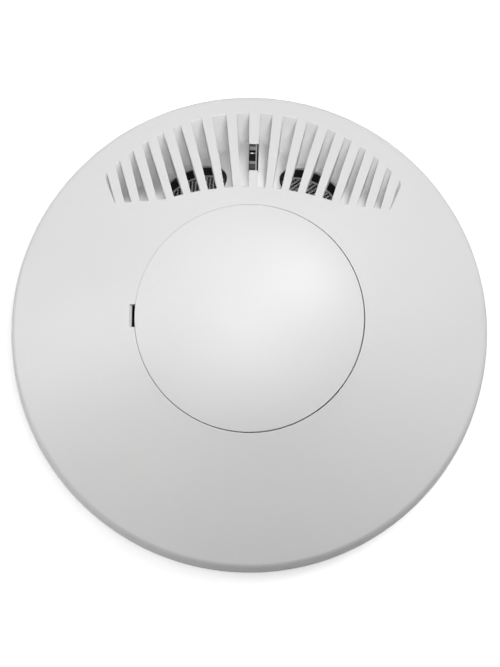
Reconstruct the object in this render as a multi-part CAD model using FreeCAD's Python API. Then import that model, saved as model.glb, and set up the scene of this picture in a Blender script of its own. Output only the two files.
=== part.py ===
import FreeCAD, Part
import os
import math
from math import sin, cos, tan, radians, sqrt, pi
from FreeCAD import Vector as V

# Ceiling-mounted ultrasonic occupancy sensor, millimetres.
# +Z leaves the rear mounting face towards the room; the louvred sound window is at -Y.
# Origin: centre of the rear mounting face.

os.makedirs("parts", exist_ok=True)

# ------------------------------------------------------------------ driving dimensions
R_HEAD = 57.0          # widest radius of the domed head (skirt edge)
Z_SKIRT = 0.5          # lower edge of the skirt above the ceiling plane
R_COVER = 26.70        # radius of the round centre cover
R_SEAT = 26.86         # radius of the round opening the cover sits in
COVER_DX = 0.09        # the loose cover sits a little off centre in its opening
COVER_DY = -0.085
Z_SEAM = 30.0          # height of the dome surface at the cover's edge
A_SEAM = 30.5          # slope of the dome at the cover's edge, degrees
R_FLANK = 55.6         # radius where the flank turns into the rim rollover
A_FLANK = 38.0         # slope of the flank at its lower end, degrees
R_ROLL = 2.8           # rollover radius at the rim
WALL = 2.2             # moulded wall thickness

LEDGE_TOP = 27.4       # seat of the centre cover
LEDGE_T = 1.8
WELL_R = 22.0          # control well under the centre cover
WELL_Y = -13.5         # straight front wall of the well
WELL_FLOOR = 16.6      # top of the well floor
WELL_T = 1.6

TILT = 48.5            # tilt of each sound axis from +Z
SPLAY = 26.0           # sideways splay of each sound axis
TC = (13.85, -32.65, 19.2)   # centre of the right-hand (+X) sound opening
R_OPEN = 8.1           # radius of each sound opening
CAN_R = 8.0            # 16 mm transducer can
CAN_L = 11.2
CAN_IN = 2.4           # depth of the can's rim behind the opening plane

FIN_W = 1.75           # fin width at its top edge near the inner lip
FIN_DRAFT = 1.6        # draft of the fin sides, degrees
FLOOR_Z = 13.0         # recess floor where it meets the dome
FLOOR_Y = 52.0
FLOOR_R = 300.0        # cross curvature of the recess floor
FLOOR_SLOPE = 0.057    # the floor falls inwards

PLATE_R = 50.0         # mounting plate
PLATE_T = 2.0
COLLAR_RI = 11.0
COLLAR_RO = 13.5
COLLAR_TOP = 5.0
BOX_SPACING = 88.9     # screw spacing of a 4 inch octagon box
SLOT_R = 2.2
SLOT_L = 9.0

PAN_Z0 = 2.3           # rear housing floor
PAN_T = 1.6
PAN_R = 54.0
STUD_PCR = 36.0        # bayonet studs of the mounting plate
TWIST = 16.0           # unlocking turn of the head, degrees

BOARD_Z = 8.0
BOARD_T = 1.6
BOARD_R = 41.5
BOARD_Y = -15.5        # straight front edge of the board

# ------------------------------------------------------------------ helpers


def cyl(r, h, p=(0, 0, 0), d=(0, 0, 1)):
    return Part.makeCylinder(r, h, V(*p), V(*d))


def box(x0, x1, y0, y1, z0, z1):
    return Part.makeBox(x1 - x0, y1 - y0, z1 - z0, V(x0, y0, z0))


def ring(ro, ri, z0, z1):
    return cyl(ro, z1 - z0, (0, 0, z0)).cut(cyl(ri, z1 - z0 + 0.2, (0, 0, z0 - 0.1)))


def revolve_pts(pts):
    """Closed (r, z) polygon turned about Z."""
    w = Part.makePolygon([V(r, 0, z) for r, z in pts] + [V(pts[0][0], 0, pts[0][1])])
    return Part.Face(w).revolve(V(0, 0, 0), V(0, 0, 1), 360)


def rot_z(shape, deg):
    s = shape.copy()
    s.rotate(V(0, 0, 0), V(0, 0, 1), deg)
    return s


def mirror_x(shape):
    return shape.mirror(V(0, 0, 0), V(1, 0, 0))


def fuse(shapes):
    s = shapes[0]
    if len(shapes) > 1:
        s = s.multiFuse(shapes[1:])
    return s


def single(shape):
    """The largest solid of a shape."""
    sol = sorted(shape.Solids, key=lambda q: -q.Volume)
    return sol[0]


def save(name, shape):
    sol = shape.Solids
    out = sol[0] if len(sol) == 1 else Part.makeCompound(sol)
    out.exportStep("parts/" + name + ".step")
    bb = out.BoundBox
    print("%-26s solids %2d  vol %9.2f  x %.2f %.2f y %.2f %.2f z %.2f %.2f" % (
        name, len(sol), out.Volume, bb.XMin, bb.XMax, bb.YMin, bb.YMax, bb.ZMin, bb.ZMax))
    return out


# ------------------------------------------------------------------ dome profile
th3, th2, th1 = radians(A_SEAM), radians(A_FLANK), radians(87.6)
R_CROWN = R_COVER / sin(th3)
ZC_CROWN = Z_SEAM - R_CROWN * cos(th3)
R_F = (R_FLANK - R_COVER) / (sin(th2) - sin(th3))
FR, FZ = R_COVER - R_F * sin(th3), Z_SEAM - R_F * cos(th3)
RR, RZ = R_FLANK - R_ROLL * sin(th2), (FZ + R_F * cos(th2)) - R_ROLL * cos(th2)


def dome_z(r):
    if r < R_COVER:
        return ZC_CROWN + sqrt(R_CROWN ** 2 - r * r)
    return FZ + sqrt(R_F ** 2 - (r - FR) ** 2)


def dome_solid(off, z0):
    """Solid under the dome surface offset inwards by off, down to height z0."""
    rc, rf, rr = R_CROWN - off, R_F - off, R_ROLL - off

    def on(cx, cz, rad, a):
        return V(cx + rad * sin(a), 0, cz + rad * cos(a))
    p_top = V(0, 0, ZC_CROWN + rc)
    p3 = on(0, ZC_CROWN, rc, th3)
    m3 = on(0, ZC_CROWN, rc, th3 / 2)
    p2 = on(FR, FZ, rf, th2)
    m2 = on(FR, FZ, rf, (th2 + th3) / 2)
    p1 = on(RR, RZ, rr, th1)
    m1 = on(RR, RZ, rr, (th1 + th2) / 2)
    # drafted skirt below the rollover
    k = (R_HEAD - (RR + R_ROLL * sin(th1))) / ((RZ + R_ROLL * cos(th1)) - Z_SKIRT)
    p0 = V(p1.x + k * (p1.z - z0), 0, z0)
    c = V(0, 0, z0)
    e = [Part.Arc(p_top, m3, p3).toShape(), Part.Arc(p3, m2, p2).toShape(),
         Part.Arc(p2, m1, p1).toShape(), Part.makeLine(p1, p0), Part.makeLine(p0, c),
         Part.makeLine(c, p_top)]
    return Part.Face(Part.Wire(e)).revolve(V(0, 0, 0), V(0, 0, 1), 360)


OUTER = dome_solid(0.0, Z_SKIRT)
INNER = dome_solid(WALL, Z_SKIRT - 1.0)

# ------------------------------------------------------------------ sound-axis frame
st, ct, ss, cs = sin(radians(TILT)), cos(radians(TILT)), sin(radians(SPLAY)), cos(radians(SPLAY))
AX = V(st * ss, -st * cs, ct)
HX = V(cs, ss, 0)
UX = AX.cross(HX)
TM = FreeCAD.Matrix(HX.x, UX.x, AX.x, TC[0], HX.y, UX.y, AX.y, TC[1], HX.z, UX.z, AX.z, TC[2], 0, 0, 0, 1)


def place(shape):
    """Local frame of the +X opening: local z = sound axis, origin in the opening plane."""
    s = shape.copy()
    s.transformShape(TM)
    return s


def both(shape):
    s = place(shape)
    return s, mirror_x(s)


# ------------------------------------------------------------------ fin layout
# (x, -y) of each fin's centre line on the dome: outer end, inner end
FIN_OUT = [(0.0, 52.1), (5.6, 52.1), (11.4, 50.6), (16.4, 48.9), (20.6, 47.3), (24.3, 45.1), (27.7, 42.8), (30.8, 40.2), (33.6, 36.4)]
FIN_IN = [(0.0, 31.2), (3.75, 31.2), (7.45, 30.6), (11.2, 30.0), (15.2, 29.2), (19.25, 28.3), (23.3, 28.0), (27.4, 27.9), (31.2, 27.9)]

# ------------------------------------------------------------------ recess under the fins
def outline(face_off):
    lip = Part.Arc(V(-21.0, -28.35, 0), V(0, -31.5, 0), V(21.0, -28.35, 0)).toShape()
    pts = [V(21.0, -28.35, 0), V(33.0, -28.1, 0), V(35.3, -30.2, 0), V(37.5, -40.0, 0), V(37.5, -62.0, 0),
           V(-37.5, -62.0, 0), V(-37.5, -40.0, 0), V(-35.3, -30.2, 0), V(-33.0, -28.1, 0), V(-21.0, -28.35, 0)]
    w = Part.Wire([lip] + [Part.makeLine(pts[i], pts[i + 1]) for i in range(len(pts) - 1)])
    f = Part.Face(w)
    if face_off:
        f = f.makeOffset2D(face_off)
    return f


RAMP_P, RAMP_N = (22.0, -28.0, 23.7), (0.260, -0.801, 0.541)
END_P, END_N = (34.6, -33.0, 16.4), (-0.675, -0.575, 0.462)


def wedge(p, n, back):
    """Half space below the plane through p with normal n, moved back along the normal."""
    nv = V(*n)
    nv.normalize()
    b = Part.makeBox(160, 160, 80, V(-80, -80, -80))
    b.Placement = FreeCAD.Placement(V(*p) - nv * back, FreeCAD.Rotation(V(0, 0, 1), nv))
    return b


def beyond_fin(i, back):
    """Everything outside (+X) of the vertical plane through fin i."""
    (ox, oy), (ix, iy) = FIN_OUT[i], FIN_IN[i]
    d = V(ox - ix, -(oy - iy), 0)
    d.normalize()
    n = V(-d.y, d.x, 0)
    if n.x < 0:
        n = n * -1
    b = Part.makeBox(200, 200, 100, V(-100, -100, -50))
    b.Placement = FreeCAD.Placement(V(ix, -iy, 0) + n * (100.0 + back), FreeCAD.Rotation(V(1, 0, 0), n))
    return b


def recess(off, drop, back):
    f = outline(off)
    f.translate(V(0, 0, 4.0))
    pr = f.extrude(V(0, 0, 40.0))
    d = V(0, -1, FLOOR_SLOPE)
    d.normalize()
    n = V(0, FLOOR_SLOPE, 1)
    n.normalize()
    low = V(0, -FLOOR_Y, FLOOR_Z) - n * drop
    c = low + n * FLOOR_R
    cy = Part.makeCylinder(FLOOR_R, 240.0, c - d * 120.0, d)
    big = Part.makeBox(160, 160, 80, V(-80, -80, -80 - back))
    hr = place(big)
    prow = hr.common(mirror_x(hr))
    vol = pr.common(cy).cut(prow)
    # steep inner ramps outside the fifth fins, and the ramps that close the two ends
    side = wedge(RAMP_P, RAMP_N, back).common(beyond_fin(5, back))
    end = wedge(END_P, END_N, back)
    return vol.cut(side).cut(mirror_x(side)).cut(end).cut(mirror_x(end))


def face_kind(face):
    """Name of a recess face: floor, or the inclined plane it lies in."""
    surf = face.Surface
    if type(surf).__name__ == "Cylinder" and surf.Radius > 200:
        return "floor"
    if type(surf).__name__ == "Plane":
        for nm, v in (("sound", (AX.x, AX.y, AX.z)), ("ramp", RAMP_N), ("end", END_N)):
            for sx in (1, -1):
                w = V(v[0] * sx, v[1], v[2])
                w.normalize()
                if abs(surf.Axis.dot(w)) > 0.999:
                    return nm
    return ""


def soften(shape, a, b, radius):
    """Fillet the edges where faces of kinds a and b meet."""
    picked = []
    for e in shape.Edges:
        kinds = sorted(face_kind(f) for f in shape.Faces if any(e.isSame(q) for q in f.Edges))
        if kinds == sorted((a, b)) and e.Length > 0.5:
            picked.append(e)
    return shape.makeFillet(radius, picked)


REC = recess(0.0, 0.0, 0.0)
REC = soften(REC, "ramp", "floor", 4.0)
REC = soften(REC, "end", "floor", 2.5)
REC = soften(REC, "floor", "sound", 2.4)
print("recess", REC.Volume, REC.isValid(), len(REC.Faces))
REC2 = recess(2.0, 1.8, 2.0).common(OUTER)

# ------------------------------------------------------------------ fins
def fin(po, pi_, w_top):
    """Straight tapered web from the inner lip to the outer edge of the recess."""
    ax, ay = po[0] - pi_[0], -(po[1] - pi_[1])
    ln = sqrt(ax * ax + ay * ay)
    ax, ay = ax / ln, ay / ln
    nx, ny = -ay, ax
    s = V(pi_[0] - ax * 4, -pi_[1] - ay * 4, 0)
    e = V(po[0] + ax * 7, -po[1] + ay * 7, 0)
    zt, zb = 33.0, 6.0
    kt = w_top / 2 - (33.0 - 26.5) * tan(radians(FIN_DRAFT))
    kb = w_top / 2 + (26.5 - 6.0) * tan(radians(FIN_DRAFT))
    q = [V(s.x + nx * kb, s.y + ny * kb, zb), V(s.x + nx * kt, s.y + ny * kt, zt),
         V(s.x - nx * kt, s.y - ny * kt, zt), V(s.x - nx * kb, s.y - ny * kb, zb)]
    w = Part.makePolygon(q + [q[0]])
    return Part.Face(w).extrude(V(e.x - s.x, e.y - s.y, 0))


FINS = []
for i in range(9):
    f = fin(FIN_OUT[i], FIN_IN[i], FIN_W + (0.15 if i == 0 else 0.0))
    FINS.append(f)
    if i:
        FINS.append(mirror_x(f))

# clear the beam just in front of each sound opening, under the fins
relief_r, relief_l = both(cyl(R_OPEN + 0.5, 1.1, (0, 0, -0.1)))
FINS_CUT = [f.cut(relief_r).cut(relief_l) for f in FINS]
GAPS = REC
for f in FINS_CUT:
    GAPS = GAPS.cut(f)

# ------------------------------------------------------------------ front housing
shell = OUTER.cut(INNER)
ledge = cyl(R_SEAT + 2.0, LEDGE_T, (0, 0, LEDGE_TOP - LEDGE_T))
seat_ring = ring(R_SEAT + 2.0, R_SEAT - 0.5, LEDGE_TOP - LEDGE_T, 31.0).common(OUTER)


def well_d(r, y, z0, z1):
    return cyl(r, z1 - z0, (0, 0, z0)).common(box(-60, 60, y, 60, z0 - 1, z1 + 1))


well_out = well_d(WELL_R + 1.6, WELL_Y - 1.6, WELL_FLOOR - WELL_T, LEDGE_TOP)
well_in = well_d(WELL_R, WELL_Y, WELL_FLOOR, LEDGE_TOP + 1)

sock = cyl(11.0, 5.0, (0, 0, -6.2)).common(cyl(30, 60, (0, 0, -50)))
sock_r, sock_l = both(sock)

BOSS = [(32.5, -32.5), (-32.5, -32.5), (32.5, 32.5), (-32.5, 32.5)]
bosses = []
for bx, by in BOSS:
    top = 12.9 if by < 0 else 16.5
    bosses.append(cyl(3.6, top - 4.05, (bx, by, 4.05)).common(OUTER))
blank = fuse([shell, REC2, ledge, seat_ring, well_out, sock_r.common(OUTER), sock_l.common(OUTER)] + bosses)

cuts = [GAPS, well_in]
cuts.append(cyl(R_SEAT, 20, (0, 0, LEDGE_TOP)))
hole_r, hole_l = both(cyl(R_OPEN, 2.4, (0, 0, -2.2)))
cuts += [hole_r, hole_l]
bore_r, bore_l = both(cyl(9.85, 8.0, (0, 0, -10.0)))
cuts += [bore_r, bore_l]
canb_r, canb_l = both(cyl(8.7, 14.0, (0, 0, -16.0)))
cuts += [canb_r, canb_l]
# four snap-leg slots in the seat
for a in (45, 135, 225, 315):
    cuts.append(rot_z(box(24.2, R_SEAT, -3.6, 3.6, LEDGE_TOP - LEDGE_T - 1, LEDGE_TOP + 1), a))
# pry notch beside the cover
cuts.append(box(R_SEAT - 1.0, 27.45, -2.7, 2.7, LEDGE_TOP - LEDGE_T - 1, 33))
ramp = Part.Face(Part.makePolygon([V(27.4, -2.7, 28.2), V(27.4, -2.7, 33), V(28.05, -2.7, 33), V(28.05, -2.7, 28.9), V(27.4, -2.7, 28.2)])).extrude(V(0, 5.4, 0))
cuts.append(ramp)
# control openings in the well floor
POT = [(-11.0, 6.0), (11.0, 6.0)]
for px, py in POT:
    cuts.append(cyl(4.25, 4, (px, py, WELL_FLOOR - WELL_T - 1)))
DIP = (0.0, -6.5)
cuts.append(box(DIP[0] - 6.15, DIP[0] + 6.15, DIP[1] - 3.5, DIP[1] + 3.5, WELL_FLOOR - WELL_T - 1, WELL_FLOOR + 1))
# window of the light pipe
LP_Y0, LP_Y1, LP_W = -43.1, -36.1, 1.0
cuts.append(box(-LP_W - 0.12, LP_W + 0.12, LP_Y0 - 0.12, LP_Y1 + 0.12, 4, 40))
# pilot holes of the housing screws
for bx, by in BOSS:
    cuts.append(cyl(1.3, 7.0, (bx, by, 3.5)))
front = blank
for c in cuts:
    front = front.cut(c)
front = single(front)
print("material left in the openings", front.common(hole_r).Volume, front.common(hole_l).Volume)
# small break of the edge round the cover opening
edge_cut = revolve_pts([(R_SEAT - 0.01, dome_z(R_SEAT) - 0.06), (R_SEAT - 0.01, 33), (R_SEAT + 0.06, 33), (R_SEAT + 0.06, dome_z(R_SEAT + 0.06) - 0.005)])
front = single(front.cut(edge_cut))
save("front_housing", front)

# ------------------------------------------------------------------ centre cover
cap = OUTER.common(cyl(R_COVER, 20, (0, 0, LEDGE_TOP + 0.1)))
hollow = dome_solid(2.0, 0.0).common(cyl(R_COVER - 2.2, 40, (0, 0, 0)))
cover = cap.cut(hollow)
LEG_R0, LEG_R1 = 24.9, 26.1
legs = []
for a in (45, 135, 225, 315):
    leg = Part.Face(Part.makePolygon([
        V(LEG_R0, -2.5, 29.0), V(LEG_R0, -2.5, 22.8), V(LEG_R1 - 0.3, -2.5, 22.8), V(LEG_R1 + 0.45, -2.5, 24.0),
        V(LEG_R1 + 0.45, -2.5, 24.5), V(LEG_R1, -2.5, 25.2), V(LEG_R1, -2.5, 29.0), V(LEG_R0, -2.5, 29.0)])).extrude(V(0, 5.0, 0))
    legs.append(rot_z(leg, a))
# two stiffening ribs under the crown
ribs = [box(-20, 20, -0.6, 0.6, 28.5, 40).common(hollow), box(-0.6, 0.6, -20, 20, 28.5, 40).common(hollow)]
ribs = [r.cut(cyl(4.0, 20, (0, 0, 20))).cut(dome_solid(4.2, 0.0)) for r in ribs]
cover = fuse([cover] + legs + ribs)
chamf = revolve_pts([(R_COVER + 0.01, dome_z(R_COVER) - 0.06), (R_COVER + 0.01, 34), (R_COVER - 0.06, 34), (R_COVER - 0.06, dome_z(R_COVER - 0.06) - 0.003)])
cover = single(cover.cut(chamf))
cover.translate(V(COVER_DX, COVER_DY, 0))
save("center_cover", cover)

# ------------------------------------------------------------------ mounting plate with bayonet studs
plate = cyl(PLATE_R, PLATE_T)
for sx in (-1, 1):
    x = sx * BOX_SPACING / 2
    hl = SLOT_L / 2 - SLOT_R
    slot = fuse([cyl(SLOT_R, 4, (x - hl, 0, -1)), cyl(SLOT_R, 4, (x + hl, 0, -1)), box(x - hl, x + hl, -SLOT_R, SLOT_R, -1, 3)])
    plate = plate.cut(slot)
collar = cyl(COLLAR_RO, COLLAR_TOP).common(cyl(60, COLLAR_TOP))
studs = []
for a in (90, 210, 330):
    stem = box(STUD_PCR - 1.1, STUD_PCR + 1.1, -2.5, 2.5, PLATE_T - 0.5, 4.2)
    head = box(STUD_PCR - 2.5, STUD_PCR + 2.5, -2.5, 2.5, 4.15, 5.35)
    studs.append(rot_z(stem.fuse(head), a))
plate = fuse([plate, collar] + studs).cut(cyl(COLLAR_RI, 10, (0, 0, -1)))
plate = single(plate.removeSplitter())
save("mounting_plate", plate)

# ------------------------------------------------------------------ rear housing


def sector(r0, r1, a0, a1, z0, z1):
    """Arc slot between two radii and two angles (degrees)."""
    s = Part.makeCylinder(r1, z1 - z0, V(0, 0, z0), V(0, 0, 1), a1 - a0)
    s.rotate(V(0, 0, 0), V(0, 0, 1), a0)
    return s.cut(cyl(r0, z1 - z0 + 2, (0, 0, z0 - 1)))


pan = cyl(PAN_R, PAN_T, (0, 0, PAN_Z0)).fuse(ring(PAN_R, PAN_R - 1.6, PAN_Z0, 7.4))
pcuts = [cyl(COLLAR_RO + 0.06, 10, (0, 0, 0))]
da = math.degrees(2.5 / (STUD_PCR - 1.1)) + 0.6
for a in (90, 210, 330):
    pcuts.append(sector(STUD_PCR - 1.5, STUD_PCR + 1.5, a - TWIST - da, a + da, 1, 6))
    pcuts.append(sector(STUD_PCR - 3.0, STUD_PCR + 3.0, a - TWIST - da - 1.0, a - TWIST + da + 1.0, 1, 6))
for a in (0, 180):
    pcuts.append(sector(40.2, 48.6, a - TWIST - 7.5, a + 7.5, 1, 6))
for bx, by in BOSS:
    pcuts.append(cyl(1.6, 6, (bx, by, 1)))
    pcuts.append(Part.makeCone(3.15, 1.6, 1.3, V(bx, by, PAN_Z0 - 0.001)))
POSTS = [(-23.0, -1.5), (23.0, -1.5), (-13.5, 33.5)]
posts = [cyl(3.0, BOARD_Z - PAN_Z0 - PAN_T + 0.5, (x, y, PAN_Z0 + PAN_T - 0.5)) for x, y in POSTS]
pan = fuse([pan] + posts)
pcuts += [cyl(1.1, 5, (x, y, BOARD_Z - 3.9)) for x, y in POSTS]
pan = single(pan.cut(fuse(pcuts)))
save("rear_housing", pan)

# ------------------------------------------------------------------ screws
hs = []
for bx, by in BOSS:
    head = Part.makeCone(3.0, 1.5, 1.25, V(bx, by, PAN_Z0 + 0.05))
    hs.append(head.fuse(cyl(1.25, 8.0, (bx, by, PAN_Z0 + 0.1))).cut(
        box(bx - 1.7, bx + 1.7, by - 0.3, by + 0.3, PAN_Z0 - 0.5, PAN_Z0 + 0.6)).cut(
        box(bx - 0.3, bx + 0.3, by - 1.7, by + 1.7, PAN_Z0 - 0.5, PAN_Z0 + 0.6)))
save("housing_screws", Part.makeCompound(hs))
bs = []
zb = BOARD_Z + BOARD_T
for x, y in POSTS:
    h = cyl(2.4, 1.3, (x, y, zb + 0.02)).fuse(cyl(1.05, 4.6, (x, y, zb - 4.5)))
    h = h.cut(box(x - 1.6, x + 1.6, y - 0.3, y + 0.3, zb + 0.7, zb + 2)).cut(box(x - 0.3, x + 0.3, y - 1.6, y + 1.6, zb + 0.7, zb + 2))
    bs.append(h)
save("board_screws", Part.makeCompound(bs))

# ------------------------------------------------------------------ main board
board = cyl(BOARD_R, BOARD_T, (0, 0, BOARD_Z)).common(box(-60, 60, BOARD_Y, 60, 0, 20))
board = fuse([board, box(-1.7, 1.7, -36, BOARD_Y + 1, BOARD_Z, zb), box(-2.6, 2.6, -43, -35, BOARD_Z, zb)])
for x, y in POSTS:
    board = board.cut(cyl(1.5, 6, (x, y, 6)))
board = single(board.removeSplitter())
save("main_board", board)

# ------------------------------------------------------------------ light pipe and indicator
lp = box(-LP_W, LP_W, LP_Y0, LP_Y1, 13.9, 40).common(dome_solid(0.25, 0.0))
save("light_pipe", single(lp))
led = fuse([cyl(1.9, 0.8, (0, -39.6, zb + 0.02)), cyl(1.5, 2.4, (0, -39.6, zb + 0.02)),
            Part.makeSphere(1.5, V(0, -39.6, zb + 2.42)).common(box(-3, 3, -43, -36, zb + 2.4, 20))])
save("indicator_led", single(led))

# ------------------------------------------------------------------ control pots and knobs
for name, (px, py), rest in (("time", POT[0], 0), ("sensitivity", POT[1], 0)):
    body = box(px - 4.8, px + 4.8, py - 4.8, py + 4.8, zb + 0.02, zb + 4.5)
    body = body.cut(cyl(2.2, 6, (px, py, zb + 1.0)))
    save(name + "_pot_body", body)
    knob = fuse([cyl(2.15, 4.5, (px, py, zb + 1.1)), cyl(3.9, 5.1, (px, py, zb + 4.8))])
    top = zb + 9.9
    # screwdriver slot and pointer notch
    knob = knob.cut(box(px - 2.6, px + 2.6, py - 0.45, py + 0.45, top - 1.4, top + 1))
    knob = knob.cut(box(px - 0.35, px + 0.35, py + 2.6, py + 4.2, top - 1.0, top + 1))
    # grip flutes
    for k in range(18):
        a = 2 * pi * (k + 0.5) / 18
        knob = knob.cut(cyl(0.32, 2.6, (px + 4.0 * cos(a), py + 4.0 * sin(a), top - 2.4)))
    save(name + "_knob", single(knob))

# ------------------------------------------------------------------ slide switch block
dx, dy = DIP
sw = box(dx - 5.85, dx + 5.85, dy - 3.2, dy + 3.2, zb + 0.02, zb + 5.1)
SLX = [dx - 3.81, dx - 1.27, dx + 1.27, dx + 3.81]
for x in SLX:
    sw = sw.cut(box(x - 0.7, x + 0.7, dy - 1.75, dy + 1.75, zb + 3.4, zb + 6))
save("dip_switch_body", single(sw))
for n, x in enumerate(SLX, 1):
    s = fuse([box(x - 0.62, x + 0.62, dy - 1.68, dy - 0.28, zb + 3.5, zb + 5.9)])
    save("dip_slider_%d" % n, s)

# ------------------------------------------------------------------ board components


def leads(x0, y0, n, pitch, reach, along="x", w=0.4):
    out = []
    for k in range(n):
        o = (k - (n - 1) / 2) * pitch
        if along == "x":
            out.append(box(x0 + o - w / 2, x0 + o + w / 2, y0 - reach, y0 + reach, zb + 0.02, zb + 0.22))
            for s in (-1, 1):
                out.append(box(x0 + o - w / 2, x0 + o + w / 2, y0 + s * (reach - 0.6) - 0.12, y0 + s * (reach - 0.6) + 0.12, zb + 0.02, zb + 0.9))
        else:
            out.append(box(x0 - reach, x0 + reach, y0 + o - w / 2, y0 + o + w / 2, zb + 0.02, zb + 0.22))
            for s in (-1, 1):
                out.append(box(x0 + s * (reach - 0.6) - 0.12, x0 + s * (reach - 0.6) + 0.12, y0 + o - w / 2, y0 + o + w / 2, zb + 0.02, zb + 0.9))
    return out


mx, my = 21.5, 23.0
mcu = fuse([box(mx - 4.2, mx + 4.2, my - 4.2, my + 4.2, zb + 0.1, zb + 1.6)] + leads(mx, my, 8, 0.9, 5.2, "x", 0.35) + leads(mx, my, 8, 0.9, 5.2, "y", 0.35))
save("microcontroller", single(mcu))
amps = []
for ax_ in (-25.0, 25.0):
    amps.append(single(fuse([box(ax_ - 4.3, ax_ + 4.3, -9.95, -6.05, zb + 0.1, zb + 1.7)] + leads(ax_, -8.0, 7, 1.27, 3.0, "x", 0.4))))
save("amplifier_chips", Part.makeCompound(amps))
caps = []
for x, y, r, h in ((-20.5, 27.0, 4.0, 7.6), (-29.0, 16.5, 4.0, 7.6), (-2.0, 34.5, 2.6, 5.6)):
    c = revolve_pts([(0, 0), (r, 0), (r, 1.0), (r - 0.3, 1.25), (r - 0.3, 1.5), (r, 1.75), (r, h - 0.3), (r - 0.3, h), (0, h)])
    c.translate(V(x, y, zb + 0.02))
    caps.append(c)
save("electrolytic_capacitors", Part.makeCompound(caps))
xt = fuse([cyl(2.1, 3.4, (28.0 - 3.2, 9.0, zb + 0.02)), cyl(2.1, 3.4, (28.0 + 3.2, 9.0, zb + 0.02)), box(24.8, 31.2, 6.9, 11.1, zb + 0.02, zb + 3.42)])
save("crystal", single(xt.removeSplitter()))
rg = fuse([box(-36.0, -29.5, 3.5, 7.0, zb + 0.1, zb + 1.8), box(-34.3, -31.2, 6.8, 8.6, zb + 0.02, zb + 0.3)] +
          [box(-32.75 + k * 2.3 - 0.35, -32.75 + k * 2.3 + 0.35, 1.8, 3.7, zb + 0.02, zb + 0.3) for k in (-1, 0, 1)])
save("voltage_regulator", single(rg))
hd = box(6.5, 18.5, 31.2, 37.2, zb + 0.02, zb + 7.2)
for k in (-1, 0, 1):
    hd = hd.cut(box(12.5 + k * 3.9 - 1.4, 12.5 + k * 3.9 + 1.4, 30.0, 34.4, zb + 1.6, zb + 4.6))
    hd = hd.cut(cyl(1.3, 3.0, (12.5 + k * 3.9, 34.6, zb + 5.6)))
save("lead_header", single(hd))

# ------------------------------------------------------------------ transducers (built in the sound-axis frame)
z0 = -CAN_IN
can = revolve_pts([(CAN_R - 0.9, z0), (CAN_R - 0.15, z0), (CAN_R, z0 - 0.15), (CAN_R, z0 - CAN_L), (CAN_R - 0.35, z0 - CAN_L),
                   (CAN_R - 0.35, z0 - 0.35), (CAN_R - 0.9, z0 - 0.35)])
mesh = cyl(CAN_R - 0.40, 0.25, (0, 0, z0 - 0.66))
cone = revolve_pts([(0.0, z0 - 4.4), (0.8, z0 - 4.4), (4.6, z0 - 1.6), (4.75, z0 - 1.75), (1.1, z0 - 4.9), (0.0, z0 - 4.9)])
piezo = cyl(5.2, 0.6, (0, 0, z0 - 5.55))
base = revolve_pts([(0, z0 - CAN_L + 0.1), (CAN_R - 0.4, z0 - CAN_L + 0.1), (CAN_R - 0.4, z0 - CAN_L + 2.0), (5.6, z0 - CAN_L + 2.0),
                    (5.6, z0 - 5.6), (4.4, z0 - 5.6), (4.4, z0 - CAN_L + 1.6), (0, z0 - CAN_L + 1.6)])
pins = [cyl(0.5, 4.5, (s * 5.0, 0, z0 - CAN_L - 4.45)) for s in (-1, 1)]
boot = revolve_pts([(7.45, -0.35), (7.85, -0.35), (8.04, -0.55), (8.04, -2.05), (9.75, -2.05), (9.75, -8.4), (8.04, -8.4), (8.04, -2.35), (7.45, -2.35)])
for nm, shp in (("transducer_can", can), ("transducer_mesh", mesh), ("transducer_cone", cone), ("transducer_piezo", piezo),
                ("transducer_base", base), ("transducer_pins", Part.makeCompound(pins)), ("transducer_boot", boot)):
    r_, l_ = both(shp)
    save("right_" + nm, r_)
    save("left_" + nm, l_)
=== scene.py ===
import math
import bpy
import bmesh
import numpy as np
from mathutils import Vector, Matrix


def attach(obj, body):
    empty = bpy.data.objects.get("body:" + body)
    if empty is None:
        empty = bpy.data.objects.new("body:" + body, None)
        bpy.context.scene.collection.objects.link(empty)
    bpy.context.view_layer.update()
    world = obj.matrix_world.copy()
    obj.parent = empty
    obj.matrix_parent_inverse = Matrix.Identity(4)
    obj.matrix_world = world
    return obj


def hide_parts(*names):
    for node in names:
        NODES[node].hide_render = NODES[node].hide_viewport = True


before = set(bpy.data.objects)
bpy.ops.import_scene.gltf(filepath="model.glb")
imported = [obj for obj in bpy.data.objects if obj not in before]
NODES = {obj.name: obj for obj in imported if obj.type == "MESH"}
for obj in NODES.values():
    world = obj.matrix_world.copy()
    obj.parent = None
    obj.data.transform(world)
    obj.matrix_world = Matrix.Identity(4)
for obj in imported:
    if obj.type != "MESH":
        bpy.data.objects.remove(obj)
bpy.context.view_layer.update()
scene = bpy.context.scene
MM = 0.001

# ------------------------------------------------------------------ dimensions shared with the CAD, mm
R_HEAD, R_COVER, R_SEAT, Z_SEAM, A_SEAM = 57.0, 26.70, 26.86, 30.0, 30.5
R_FLANK, A_FLANK, R_ROLL, Z_SKIRT = 55.6, 38.0, 2.8, 0.5
TILT, SPLAY, TC, CAN_IN = 48.5, 26.0, (13.85, -32.65, 19.2), 2.4
COVER_OFF = (0.09, -0.085)
th3, th2, th1 = map(math.radians, (A_SEAM, A_FLANK, 87.6))
R_CROWN = R_COVER / math.sin(th3)
ZC = Z_SEAM - R_CROWN * math.cos(th3)
R_F = (R_FLANK - R_COVER) / (math.sin(th2) - math.sin(th3))
FR, FZ = R_COVER - R_F * math.sin(th3), Z_SEAM - R_F * math.cos(th3)
RR = R_FLANK - R_ROLL * math.sin(th2)
RZ = (FZ + R_F * math.cos(th2)) - R_ROLL * math.cos(th2)
R_RE = RR + R_ROLL * math.sin(th1)
Z_RE = RZ + R_ROLL * math.cos(th1)


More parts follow.
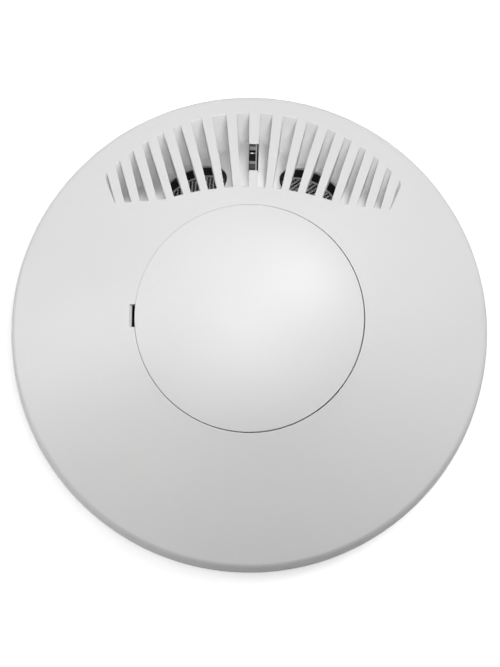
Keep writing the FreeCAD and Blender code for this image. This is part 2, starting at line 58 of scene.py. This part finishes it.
# ------------------------------------------------------------------ node helpers
class Mat:
    """Small helper that builds a Principled material from nodes."""

    def __init__(self, name):
        self.m = bpy.data.materials.new(name)
        self.m.use_nodes = True
        self.t = self.m.node_tree
        self.t.nodes.clear()
        self.out = self.n("ShaderNodeOutputMaterial")
        self.p = self.n("ShaderNodeBsdfPrincipled")
        self.l(self.p.outputs[0], self.out.inputs[0])
        self.tc = self.n("ShaderNodeTexCoord")

    def n(self, kind, **kw):
        x = self.t.nodes.new(kind)
        for k, v in kw.items():
            setattr(x, k, v)
        return x

    def l(self, a, b):
        self.t.links.new(a, b)

    def mapping(self, scale=(1, 1, 1), rot=(0, 0, 0)):
        m = self.n("ShaderNodeMapping")
        m.inputs["Scale"].default_value = scale
        m.inputs["Rotation"].default_value = rot
        self.l(self.tc.outputs["Object"], m.inputs["Vector"])
        return m.outputs[0]

    def noise(self, scale, detail=3.0, rough=0.5, vec=None):
        x = self.n("ShaderNodeTexNoise")
        x.inputs["Scale"].default_value = scale
        x.inputs["Detail"].default_value = detail
        x.inputs["Roughness"].default_value = rough
        self.l(vec if vec is not None else self.tc.outputs["Object"], x.inputs["Vector"])
        return x.outputs["Fac"]

    def ramp(self, fac, stops):
        r = self.n("ShaderNodeValToRGB")
        els = r.color_ramp.elements
        while len(els) < len(stops):
            els.new(0.5)
        for e, (pos, col) in zip(els, stops):
            e.position = pos
            e.color = (*col, 1) if len(col) == 3 else col
        self.l(fac, r.inputs[0])
        return r.outputs[0]

    def maprange(self, fac, a0, a1, b0, b1):
        r = self.n("ShaderNodeMapRange")
        for i, v in enumerate((a0, a1, b0, b1), 1):
            r.inputs[i].default_value = v
        self.l(fac, r.inputs[0])
        return r.outputs[0]

    def math(self, op, a, b):
        r = self.n("ShaderNodeMath", operation=op)
        for i, v in enumerate((a, b)):
            if isinstance(v, (int, float)):
                r.inputs[i].default_value = v
            else:
                self.l(v, r.inputs[i])
        return r.outputs[0]

    def bump(self, heights, bevel=None):
        """heights: list of (fac, strength, distance); chained bumps, optional bevel radius underneath."""
        last = None
        if bevel:
            b = self.n("ShaderNodeBevel", samples=6)
            b.inputs["Radius"].default_value = bevel
            last = b.outputs[0]
        for fac, strength, dist in heights:
            x = self.n("ShaderNodeBump")
            x.inputs["Strength"].default_value = strength
            x.inputs["Distance"].default_value = dist
            self.l(fac, x.inputs["Height"])
            if last is not None:
                self.l(last, x.inputs["Normal"])
            last = x.outputs[0]
        self.l(last, self.p.inputs["Normal"])

    def set(self, **kw):
        for k, v in kw.items():
            s = self.p.inputs[k.replace("_", " ")]
            s.default_value = v
        return self


def rgb(v):
    return (v, v, v)


def painted_recess_shade(m, colr):
    """Painted shade and light on the sound window's walls under the dome surface: the albedo is painted darker at the
    outer end and lighter at the lip, standing in for shading.
    """
    sep = m.n("ShaderNodeSeparateXYZ")
    m.l(m.tc.outputs["Object"], sep.inputs[0])
    x, y, z = sep.outputs[0], sep.outputs[1], sep.outputs[2]
    r = m.math("SQRT", m.math("ADD", m.math("MULTIPLY", x, x), m.math("MULTIPLY", y, y)), 0.0)
    dr = m.math("SUBTRACT", r, FR * MM)
    dz = m.math("SUBTRACT", z, FZ * MM)
    dist = m.math("SQRT", m.math("ADD", m.math("MULTIPLY", dr, dr), m.math("MULTIPLY", dz, dz)), 0.0)
    under = m.maprange(m.math("SUBTRACT", R_F * MM, dist), 0.00003, 0.00014, 0.0, 1.0)
    front = m.maprange(y, -0.0262, -0.0268, 0.0, 1.0)
    window = m.maprange(r, 0.0533, 0.0530, 0.0, 1.0)
    painted_shade_mask = m.math("MULTIPLY", m.math("MULTIPLY", under, front), window)
    # painted shade and light: albedo factor 1.13 near the lip falling to 0.80 at the outer end
    tone = m.maprange(r, 0.038, 0.050, 1.13, 0.80)
    f = m.math("ADD", 1.0, m.math("MULTIPLY", painted_shade_mask, m.math("SUBTRACT", tone, 1.0)))
    k = m.n("ShaderNodeVectorMath", operation="SCALE")
    m.l(colr, k.inputs[0])
    m.l(f, k.inputs[3])
    return k.outputs[0]


def plastic(name, col, rough=0.42, var=0.02, tex=0.00045, bumpd=0.000012, bevel=0.00022, spec=0.5, speck=False, strength=0.35, with_painted_recess_shade=False):
    """Moulded plastic: fine spark-eroded grain, faint flow marks and tone drift; optionally with shade and light
    painted into the sound window.
    """
    m = Mat(name)
    big = m.noise(38.0, 2.0)
    mid = m.noise(420.0, 3.0)
    lo = tuple(c * (1 - var) for c in col)
    hi = tuple(min(1, c * (1 + var)) for c in col)
    mix = m.math("ADD", m.math("MULTIPLY", big, 0.7), m.math("MULTIPLY", mid, 0.3))
    colr = m.ramp(mix, [(0.3, lo), (0.7, hi)])
    if speck:
        sp = m.noise(2600.0, 1.0)
        k = m.n("ShaderNodeMix", data_type="RGBA")
        m.l(m.ramp(sp, [(0.70, (0, 0, 0)), (0.78, (1, 1, 1))]), k.inputs[0])
        m.l(colr, k.inputs[6])
        k.inputs[7].default_value = (*[c * 0.93 for c in col], 1)
        colr = k.outputs[2]
    # optional painted shade and light on the sound window's walls
    if with_painted_recess_shade:
        colr = painted_recess_shade(m, colr)
    m.l(colr, m.p.inputs["Base Color"])
    grain = m.noise(1.0 / tex, 2.0)
    wavy = m.noise(55.0, 1.0)
    m.l(m.maprange(grain, 0.3, 0.7, rough - 0.05, rough + 0.06), m.p.inputs["Roughness"])
    m.bump([(wavy, 0.10, 0.0004), (grain, strength, bumpd)], bevel)
    m.set(Specular_IOR_Level=spec)
    return m


def metal(name, col, rough=0.3, brushed=None, bevel=0.00006, metallic=1.0):
    """Metal with drawn or spun marks, faint smudges."""
    m = Mat(name)
    v = m.mapping(scale=brushed) if brushed else m.tc.outputs["Object"]
    streak = m.noise(900.0, 3.0, 0.6, v)
    smudge = m.noise(160.0, 3.0)
    m.l(m.ramp(streak, [(0.3, tuple(c * 0.86 for c in col)), (0.7, col)]), m.p.inputs["Base Color"])
    m.l(m.maprange(m.math("ADD", m.math("MULTIPLY", streak, 0.5), m.math("MULTIPLY", smudge, 0.5)), 0.3, 0.7, rough * 0.75, rough * 1.35), m.p.inputs["Roughness"])
    m.bump([(streak, 0.25, 0.00002)], bevel)
    m.set(Metallic=metallic)
    return m


def transducer_can(name):
    """Aluminium can with a bright rolled rim; its inside is painted near-black as shade."""
    m = Mat(name)
    streak = m.noise(900.0, 3.0, 0.6)
    rel = m.n("ShaderNodeVectorMath", operation="ABSOLUTE")
    sep0 = m.n("ShaderNodeSeparateXYZ")
    m.l(m.tc.outputs["Object"], sep0.inputs[0])
    m.l(m.tc.outputs["Object"], rel.inputs[0])
    sep1 = m.n("ShaderNodeSeparateXYZ")
    m.l(rel.outputs[0], sep1.inputs[0])
    dx = m.math("SUBTRACT", sep1.outputs[0], TC[0] * MM)
    dy = m.math("SUBTRACT", sep0.outputs[1], TC[1] * MM)
    dz = m.math("SUBTRACT", sep0.outputs[2], TC[2] * MM)
    st_, ct_ = math.sin(math.radians(TILT)), math.cos(math.radians(TILT))
    ss_, cs_ = math.sin(math.radians(SPLAY)), math.cos(math.radians(SPLAY))
    along = m.math("ADD", m.math("ADD", m.math("MULTIPLY", dx, st_ * ss_), m.math("MULTIPLY", dy, -st_ * cs_)), m.math("MULTIPLY", dz, ct_))
    sq = m.math("ADD", m.math("ADD", m.math("MULTIPLY", dx, dx), m.math("MULTIPLY", dy, dy)), m.math("MULTIPLY", dz, dz))
    rad = m.math("SQRT", m.math("SUBTRACT", sq, m.math("MULTIPLY", along, along)), 0.0)
    # painted shade: the can's inner wall deep under the screen is painted near-black and non-metallic
    deep = m.maprange(along, -0.00262, -0.00272, 0.0, 1.0)
    inner = m.maprange(rad, 0.00780, 0.00775, 0.0, 1.0)
    painted_shade_mask = m.math("MULTIPLY", deep, inner)
    a = m.n("ShaderNodeMix", data_type="RGBA")
    m.l(painted_shade_mask, a.inputs[0])
    m.l(m.ramp(streak, [(0.3, (0.80, 0.81, 0.82)), (0.7, (0.90, 0.91, 0.92))]), a.inputs[6])
    a.inputs[7].default_value = (0.012, 0.012, 0.013, 1)
    m.l(a.outputs[2], m.p.inputs["Base Color"])
    m.l(m.maprange(painted_shade_mask, 0, 1, 0.35, 0.0), m.p.inputs["Metallic"])
    m.l(m.maprange(streak, 0.3, 0.7, 0.36, 0.5), m.p.inputs["Roughness"])
    m.bump([(streak, 0.25, 0.00002)], 0.00005)
    return m


def rubber(name, col=(0.012, 0.012, 0.013)):
    m = Mat(name)
    g = m.noise(1500.0, 4.0, 0.6)
    d = m.noise(130.0, 3.0)
    m.l(m.ramp(d, [(0.35, col), (0.75, tuple(c * 1.9 + 0.004 for c in col))]), m.p.inputs["Base Color"])
    m.l(m.maprange(g, 0.3, 0.7, 0.55, 0.75), m.p.inputs["Roughness"])
    m.bump([(g, 0.4, 0.00003)], 0.0001)
    m.set(Specular_IOR_Level=0.35)
    return m


def board_material(name):
    """Solder-mask green with copper traces showing under it and tinned pads."""
    m = Mat(name)
    vec = m.mapping(scale=(1, 1, 0))
    vor = m.n("ShaderNodeTexVoronoi", feature="F1", distance="MANHATTAN")
    vor.inputs["Scale"].default_value = 210.0
    vor.inputs["Randomness"].default_value = 0.75
    m.l(vec, vor.inputs["Vector"])
    br = m.n("ShaderNodeTexBrick")
    br.inputs["Scale"].default_value = 130.0
    br.inputs["Mortar Size"].default_value = 0.012
    br.offset = 0.37
    m.l(vec, br.inputs["Vector"])
    trace = m.ramp(br.outputs["Fac"], [(0.4, (0, 0, 0)), (0.6, (1, 1, 1))])
    pad = m.ramp(vor.outputs["Distance"], [(0.10, (1, 1, 1)), (0.14, (0, 0, 0))])
    base = m.ramp(m.noise(90.0), [(0.3, (0.010, 0.075, 0.030)), (0.7, (0.016, 0.100, 0.042))])
    a = m.n("ShaderNodeMix", data_type="RGBA")
    m.l(m.math("MULTIPLY", trace, 0.8), a.inputs[0])
    m.l(base, a.inputs[6])
    a.inputs[7].default_value = (0.035, 0.17, 0.06, 1)
    b = m.n("ShaderNodeMix", data_type="RGBA")
    m.l(pad, b.inputs[0])
    m.l(a.outputs[2], b.inputs[6])
    b.inputs[7].default_value = (0.62, 0.6, 0.56, 1)
    m.l(b.outputs[2], m.p.inputs["Base Color"])
    m.l(m.math("MULTIPLY", pad, 0.9), m.p.inputs["Metallic"])
    m.l(m.maprange(pad, 0, 1, 0.32, 0.22), m.p.inputs["Roughness"])
    m.bump([(trace, 0.4, 0.00003), (pad, 0.5, 0.00005)], 0.00008)
    return m


def clear(name, tint=(0.93, 0.95, 0.95), rough=0.03, trans=1.0):
    m = Mat(name)
    n = m.noise(240.0, 2.0)
    m.l(m.ramp(n, [(0.3, tuple(c * 0.97 for c in tint)), (0.7, tint)]), m.p.inputs["Base Color"])
    m.l(m.maprange(n, 0.3, 0.7, rough, rough + 0.03), m.p.inputs["Roughness"])
    m.bump([(n, 0.12, 0.00008)])
    m.set(Transmission_Weight=trans, IOR=1.49)
    return m


def window(name):
    """Glassy indicator window with painted refraction: dark and light steps painted along it stand in for the diode and
    its seat seen through the clear plastic.
    """
    m = Mat(name)
    sep = m.n("ShaderNodeSeparateXYZ")
    m.l(m.tc.outputs["Object"], sep.inputs[0])
    wob = m.math("MULTIPLY", m.math("SUBTRACT", m.noise(900.0, 2.0), 0.5), 0.00022)
    y = m.math("ADD", sep.outputs[1], wob)
    u = m.maprange(y, -0.0431, -0.0361, 0.0, 1.0)
    # painted refraction: dark and light steps along the window stand in for the diode and its seat seen through it
    painted_refraction_bands = m.ramp(u, [(0.00, rgb(0.06)), (0.08, rgb(0.08)), (0.10, rgb(0.26)), (0.21, rgb(0.22)), (0.235, rgb(0.006)), (0.31, rgb(0.006)),
                       (0.33, rgb(0.20)), (0.355, rgb(0.20)), (0.375, rgb(0.010)), (0.64, rgb(0.014)), (0.665, rgb(0.28)), (0.745, rgb(0.24)),
                       (0.77, rgb(0.055)), (0.90, rgb(0.085)), (0.93, rgb(0.045)), (1.00, rgb(0.08))])
    # a painted light strip and, outside it, a painted shadow line where the window meets the fin, both along the -X
    # side
    side = m.ramp(m.maprange(sep.outputs[0], -0.0011, 0.0011, 0.0, 1.0), [(0.0, (0, 0, 0)), (0.13, (0, 0, 0)), (0.17, (1, 1, 1)), (0.27, (1, 1, 1)), (0.31, (0, 0, 0)), (1.0, (0, 0, 0))])
    painted_gap_shadow = m.ramp(m.maprange(sep.outputs[0], -0.0011, 0.0011, 0.0, 1.0), [(0.0, (1, 1, 1)), (0.13, (1, 1, 1)), (0.17, (0, 0, 0)), (1.0, (0, 0, 0))])
    a = m.n("ShaderNodeMix", data_type="RGBA")
    m.l(side, a.inputs[0])
    m.l(painted_refraction_bands, a.inputs[6])
    a.inputs[7].default_value = (0.36, 0.36, 0.36, 1)
    b = m.n("ShaderNodeMix", data_type="RGBA")
    m.l(painted_gap_shadow, b.inputs[0])
    m.l(a.outputs[2], b.inputs[6])
    b.inputs[7].default_value = (0.02, 0.02, 0.02, 1)
    # painted highlight: a bright glint painted on the window over the diode
    gx = m.math("DIVIDE", m.math("SUBTRACT", sep.outputs[0], 0.00042), 0.00042)
    gy = m.math("DIVIDE", m.math("SUBTRACT", sep.outputs[1], -0.04073), 0.00020)
    painted_glint_spot = m.math("ADD", m.math("MULTIPLY", gx, gx), m.math("MULTIPLY", gy, gy))
    c = m.n("ShaderNodeMix", data_type="RGBA")
    m.l(m.ramp(painted_glint_spot, [(0.25, (1, 1, 1)), (1.0, (0, 0, 0))]), c.inputs[0])
    m.l(b.outputs[2], c.inputs[6])
    c.inputs[7].default_value = (0.86, 0.86, 0.86, 1)
    m.l(c.outputs[2], m.p.inputs["Base Color"])
    m.l(m.maprange(m.noise(300.0), 0.3, 0.7, 0.05, 0.09), m.p.inputs["Roughness"])
    m.bump([(m.noise(240.0), 0.10, 0.00006)], 0.00008)
    m.set(Specular_IOR_Level=0.5, Coat_Weight=0.4, Coat_Roughness=0.05)
    return m


MATS = {
    # the housing carries painted shade and light in its sound window
    "housing": plastic("housing_white", (0.735, 0.735, 0.733), rough=0.44, var=0.006, speck=True, bumpd=0.000010, bevel=0.00012, with_painted_recess_shade=True),
    "cover": plastic("cover_white", (0.742, 0.742, 0.740), rough=0.42, var=0.006, speck=True, bumpd=0.000010, bevel=0.00008),
    "plate": plastic("plate_white", (0.66, 0.66, 0.65), rough=0.5, var=0.015),
    "rear": plastic("rear_white", (0.68, 0.68, 0.67), rough=0.5, var=0.015),
    "knob_black": plastic("knob_black", (0.022, 0.022, 0.023), rough=0.38, var=0.12, bevel=0.00012),
    "knob_green": plastic("knob_green", (0.030, 0.210, 0.085), rough=0.38, var=0.06, bevel=0.00012),
    "pot": plastic("pot_blue", (0.035, 0.085, 0.30), rough=0.4, var=0.06, bevel=0.00012),
    "dip_red": plastic("switch_red", (0.42, 0.022, 0.018), rough=0.4, var=0.05, bevel=0.00010),
    "dip_white": plastic("switch_white", (0.76, 0.76, 0.74), rough=0.4, var=0.02, bevel=0.00008),
    "chip": plastic("chip_black", (0.020, 0.020, 0.022), rough=0.55, var=0.10, bevel=0.00008),
    "base": plastic("base_black", (0.018, 0.018, 0.018), rough=0.6, var=0.1),
    "header": plastic("header_ivory", (0.70, 0.69, 0.63), rough=0.45, var=0.02, bevel=0.00010),
    "ceramic": plastic("piezo_grey", (0.05, 0.047, 0.042), rough=0.7, var=0.08),
    "can": metal("can_aluminium", (0.84, 0.85, 0.86), 0.42, metallic=0.35),
    "tcan": transducer_can("transducer_can_metal"),
    # cone painted near-black, standing in for the shade behind the transducer screen
    "cone": metal("cone_painted_shade", (0.020, 0.020, 0.021), 0.6),
    "mesh": metal("mesh_wire", (0.94, 0.95, 0.96), 0.42, metallic=0.05),
    "steel": metal("screw_zinc", (0.58, 0.58, 0.58), 0.28),
    "tinned": metal("tinned_lead", (0.66, 0.65, 0.62), 0.3),
    "boot": rubber("boot_rubber"),
    "board": board_material("circuit_board"),
    "clear": window("light_window"),
    "led": clear("led_colourless", tint=(0.60, 0.61, 0.62), rough=0.10, trans=0.8),
}
NODE_MAT = {
    "front_housing": "housing", "center_cover": "cover", "rear_housing": "rear", "mounting_plate": "plate",
    "housing_screws": "steel", "board_screws": "steel", "main_board": "board", "light_pipe": "clear", "indicator_led": "led",
    "time_pot_body": "pot", "sensitivity_pot_body": "pot", "time_knob": "knob_black", "sensitivity_knob": "knob_green",
    "dip_switch_body": "dip_red", "microcontroller": "chip", "amplifier_chips": "chip", "electrolytic_capacitors": "can",
    "crystal": "can", "voltage_regulator": "chip", "lead_header": "header",
}
for k in (1, 2, 3, 4):
    NODE_MAT["dip_slider_%d" % k] = "dip_white"
for s in ("left", "right"):
    for a, b in (("can", "tcan"), ("mesh", "mesh"), ("cone", "cone"), ("piezo", "ceramic"), ("base", "base"), ("pins", "tinned"), ("boot", "boot")):
        NODE_MAT["%s_transducer_%s" % (s, a)] = b


def give(obj, key):
    obj.data.materials.clear()
    obj.data.materials.append(MATS[key].m)


for name, obj in NODES.items():
    give(obj, NODE_MAT[name])


# ------------------------------------------------------------------ exact surface normals on the carried-over shapes
def dome_normal(x, y, z, off=(0.0, 0.0)):
    """Normal of the nearest dome surface point, or None if (x, y, z) isn't on it; mm."""
    x, y = x - off[0], y - off[1]
    r = math.hypot(x, y)
    cand = None
    if z > Z_RE + 1e-3:
        for cx, cz, rad, lo, hi in ((0.0, ZC, R_CROWN, 0.0, th3), (FR, FZ, R_F, th3, th2), (RR, RZ, R_ROLL, th2, th1)):
            d = math.hypot(r - cx, z - cz)
            a = math.atan2(r - cx, z - cz)
            if abs(d - rad) < 0.02 and lo - 0.01 <= a <= hi + 0.01:
                cand = a
                break
    elif abs(r - (R_HEAD + (R_RE - R_HEAD) * (z - Z_SKIRT) / (Z_RE - Z_SKIRT))) < 0.02:
        cand = math.atan2(Z_RE - Z_SKIRT, R_HEAD - R_RE)
    if cand is None:
        return None
    if r < 1e-6:
        return Vector((0, 0, 1))
    return Vector((x / r * math.sin(cand), y / r * math.sin(cand), math.cos(cand)))


def shade(obj, dome=False, off=(0.0, 0.0), angle=34.0):
    """Smooth shading by angle; on the dome the true normal is used, so facets never show."""
    me = obj.data
    n = len(me.loops)
    pos = np.zeros(len(me.vertices) * 3)
    me.vertices.foreach_get("co", pos)
    pos = pos.reshape(-1, 3)
    # merge by position to find neighbouring faces
    key = np.round(pos * 1e6).astype(np.int64)
    _, inv = np.unique(key, axis=0, return_inverse=True)
    inv = inv.reshape(-1)
    pn = np.array([p.normal[:] for p in me.polygons])
    pa = np.array([p.area for p in me.polygons])
    lv = np.array([l.vertex_index for l in me.loops])
    lp = np.zeros(n, int)
    for p in me.polygons:
        lp[p.loop_start:p.loop_start + p.loop_total] = p.index
    vid = inv[lv]
    order = np.argsort(vid, kind="stable")
    out = np.zeros((n, 3))
    ca = math.cos(math.radians(angle))
    start = 0
    sv = vid[order]
    bounds = np.flatnonzero(np.diff(sv)) + 1
    for grp in np.split(order, bounds):
        nn = pn[lp[grp]]
        ww = pa[lp[grp]][:, None]
        dots = nn @ nn.T
        for i, li in enumerate(grp):
            w = (dots[i] > ca)[:, None] * ww
            v = (nn * w).sum(0)
            ln = np.linalg.norm(v)
            out[li] = v / ln if ln > 1e-12 else nn[i]
    if dome:
        for li in range(n):
            c = pos[lv[li]] * 1000.0
            d = dome_normal(c[0], c[1], c[2], off)
            if d is not None and float(Vector(pn[lp[li]]).dot(d)) > 0.93:
                out[li] = d
    for p in me.polygons:
        p.use_smooth = True
    me.normals_split_custom_set([tuple(v) for v in out])


for name, obj in NODES.items():
    if name == "front_housing":
        shade(obj, True)
    elif name == "center_cover":
        shade(obj, True, COVER_OFF)
    else:
        shade(obj)


# ------------------------------------------------------------------ woven screens of the two transducers
st, ct = math.sin(math.radians(TILT)), math.cos(math.radians(TILT))
ss, cs = math.sin(math.radians(SPLAY)), math.cos(math.radians(SPLAY))
AX, HX = Vector((st * ss, -st * cs, ct)), Vector((cs, ss, 0))
UX = AX.cross(HX)
TMAT = Matrix(((HX.x, UX.x, AX.x, TC[0]), (HX.y, UX.y, AX.y, TC[1]), (HX.z, UX.z, AX.z, TC[2]), (0, 0, 0, 1)))


def to_world(p, side):
    v = TMAT @ Vector(p)
    return Vector((side * v.x * MM, v.y * MM, v.z * MM))


def woven(name, side, turn, pitch=0.90, radius=7.62, depth=-2.4 - 0.53):
    """Wire cloth: stout warp wires with fine weft wires threaded over and under them."""
    bm = bmesh.new()
    n_seg = 6
    ca, sa = math.cos(math.radians(turn)), math.sin(math.radians(turn))
    count = int(radius / pitch)
    for fam in (0, 1):
        wire = 0.155 if fam == 0 else 0.045
        for k in range(-count, count + 1):
            c = k * pitch
            if abs(c) >= radius - 0.1:
                continue
            half = math.sqrt(radius ** 2 - c * c)
            steps = max(6, int(half * 2 / (pitch / 6)))
            rows = []
            for i in range(steps + 1):
                t = -half + 2 * half * i / steps
                amp = 0.03 if fam == 0 else -0.17
                zz = amp * math.cos(math.pi * t / pitch) * (1 if (k % 2 == 0) else -1)
                p = (c, t) if fam == 0 else (t, c)
                d = (0, 1) if fam == 0 else (1, 0)
                ring = []
                for j in range(n_seg):
                    q = 2 * math.pi * j / n_seg
                    ox, oz = wire * math.cos(q), wire * math.sin(q)
                    x, y = p[0] + (-d[1]) * ox, p[1] + d[0] * ox
                    xr, yr = x * ca - y * sa, x * sa + y * ca
                    ring.append(bm.verts.new(to_world((xr, yr, depth + zz + oz), side)))
                rows.append(ring)
            for a, b in zip(rows, rows[1:]):
                for j in range(n_seg):
                    bm.faces.new((a[j], a[(j + 1) % n_seg], b[(j + 1) % n_seg], b[j]))
            bm.faces.new(list(reversed(rows[0])))
            bm.faces.new(rows[-1])
    bmesh.ops.recalc_face_normals(bm, faces=bm.faces)
    me = bpy.data.meshes.new(name)
    bm.to_mesh(me)
    bm.free()
    for p in me.polygons:
        p.use_smooth = True
    o = bpy.data.objects.new(name, me)
    scene.collection.objects.link(o)
    give(o, "mesh")
    return o


for side, nm, turn in ((1, "right", -19.7), (-1, "left", 12.8)):
    w = woven(nm + "_woven_screen", side, turn)
    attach(w, "head")
    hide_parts(nm + "_transducer_mesh")

# ------------------------------------------------------------------ floor, lights, camera
me = bpy.data.meshes.new("floor")
S = 1.7
me.from_pydata([(-S, -S, 0), (S, -S, 0), (S, S, 0), (-S, S, 0)], [], [(0, 1, 2, 3)])
floor = bpy.data.objects.new("floor", me)
scene.collection.objects.link(floor)
fm = Mat("floor_white")
fm.l(fm.ramp(fm.noise(6.0), [(0.3, (0.93, 0.93, 0.93)), (0.7, (0.95, 0.95, 0.95))]), fm.p.inputs["Base Color"])
fm.set(Roughness=0.9, Specular_IOR_Level=0.1)
fm.p.inputs["Emission Color"].default_value = (1, 1, 1, 1)
far = fm.n("ShaderNodeVectorMath", operation="LENGTH")
fm.l(fm.tc.outputs["Object"], far.inputs[0])
fm.l(fm.maprange(far.outputs["Value"], 0.25, 1.1, 0.35, 1.0), fm.p.inputs["Emission Strength"])
floor.visible_diffuse = False
floor.data.materials.append(fm.m)

# white studio shell behind everything, seen only directly
bm = bmesh.new()
bmesh.ops.create_uvsphere(bm, u_segments=48, v_segments=24, radius=4.5)
sm = bpy.data.meshes.new("backdrop")
bm.to_mesh(sm)
bm.free()
backdrop = bpy.data.objects.new("backdrop", sm)
scene.collection.objects.link(backdrop)
bmat = Mat("backdrop_white")
bmat.set(Roughness=1.0, Specular_IOR_Level=0.0, Base_Color=(0.9, 0.9, 0.9, 1), Emission_Color=(1, 1, 1, 1), Emission_Strength=1.0)
backdrop.data.materials.append(bmat.m)
for flag in ("visible_diffuse", "visible_glossy", "visible_transmission", "visible_shadow"):
    setattr(backdrop, flag, False)

world = bpy.data.worlds.new("studio")
scene.world = world
world.use_nodes = True
bg = world.node_tree.nodes["Background"]
bg.inputs[0].default_value = (1, 1, 1, 1)
bg.inputs[1].default_value = 0.05


def area(name, az, el, dist, size, power):
    """Soft box at azimuth az (0 = over -Y, 90 = +X) and elevation el, aimed at the object."""
    ld = bpy.data.lights.new(name, "AREA")
    ld.shape = "SQUARE"
    ld.size = size
    ld.energy = power
    o = bpy.data.objects.new(name, ld)
    scene.collection.objects.link(o)
    a, e = math.radians(az), math.radians(el)
    back = Vector((math.sin(a) * math.cos(e), -math.cos(a) * math.cos(e), math.sin(e)))
    o.location = Vector((0, 0, 0.02)) + back * dist
    o.rotation_mode = "QUATERNION"
    o.rotation_quaternion = back.to_track_quat("Z", "Y")
    return o


LIGHTS = {
    "key": (315, 50, 1.6, 0.9, 14.6),
    "over": (0, 89.9, 1.6, 0.9, 9.5),
    "low_left": (90, 18, 1.6, 0.9, 9.8),
    "low_right": (270, 18, 1.6, 0.9, 1.5),
    "back": (0, 50, 1.6, 0.9, 1.6),
    "back_left": (45, 50, 1.6, 0.9, 1.2),
    "near_right": (225, 50, 1.6, 0.9, 1.3),
    "near_left": (135, 50, 1.6, 0.9, 2.1),
}
for nm, (az, el, dist, size, power) in LIGHTS.items():
    area("light_" + nm, az, el, dist, size, power)

cam_data = bpy.data.cameras.new("camera")
cam = bpy.data.objects.new("camera", cam_data)
scene.collection.objects.link(cam)
scene.camera = cam
cam_data.sensor_width = 36.0
DIST, PXMM, CAM_TILT, ROLL = 0.900, 4.160, 8.0, 1.4
cam_data.lens = 36.0 * (DIST * 1000.0) / (667.0 / PXMM)
cam_data.clip_start, cam_data.clip_end = 0.01, 10.0
t = math.radians(CAM_TILT)
d = Vector((0, math.sin(t), math.cos(t)))
up = Vector((0, -math.cos(t), math.sin(t)))
right = Vector((-1, 0, 0))
rho = math.radians(ROLL)
r2 = right * math.cos(rho) + up * math.sin(rho)
u2 = up * math.cos(rho) - right * math.sin(rho)
# the base centre falls at pixel (249.3, 336.0) of a 500 x 667 frame
aim = r2 * ((250.0 - 249.3) / PXMM * MM) + u2 * ((336.0 - 333.5) / PXMM * MM)
m3 = Matrix((r2, u2, d)).transposed()
cam.matrix_world = Matrix.Translation(aim + d * DIST) @ m3.to_4x4()

scene.view_settings.view_transform = "Standard"
scene.view_settings.look = "None"
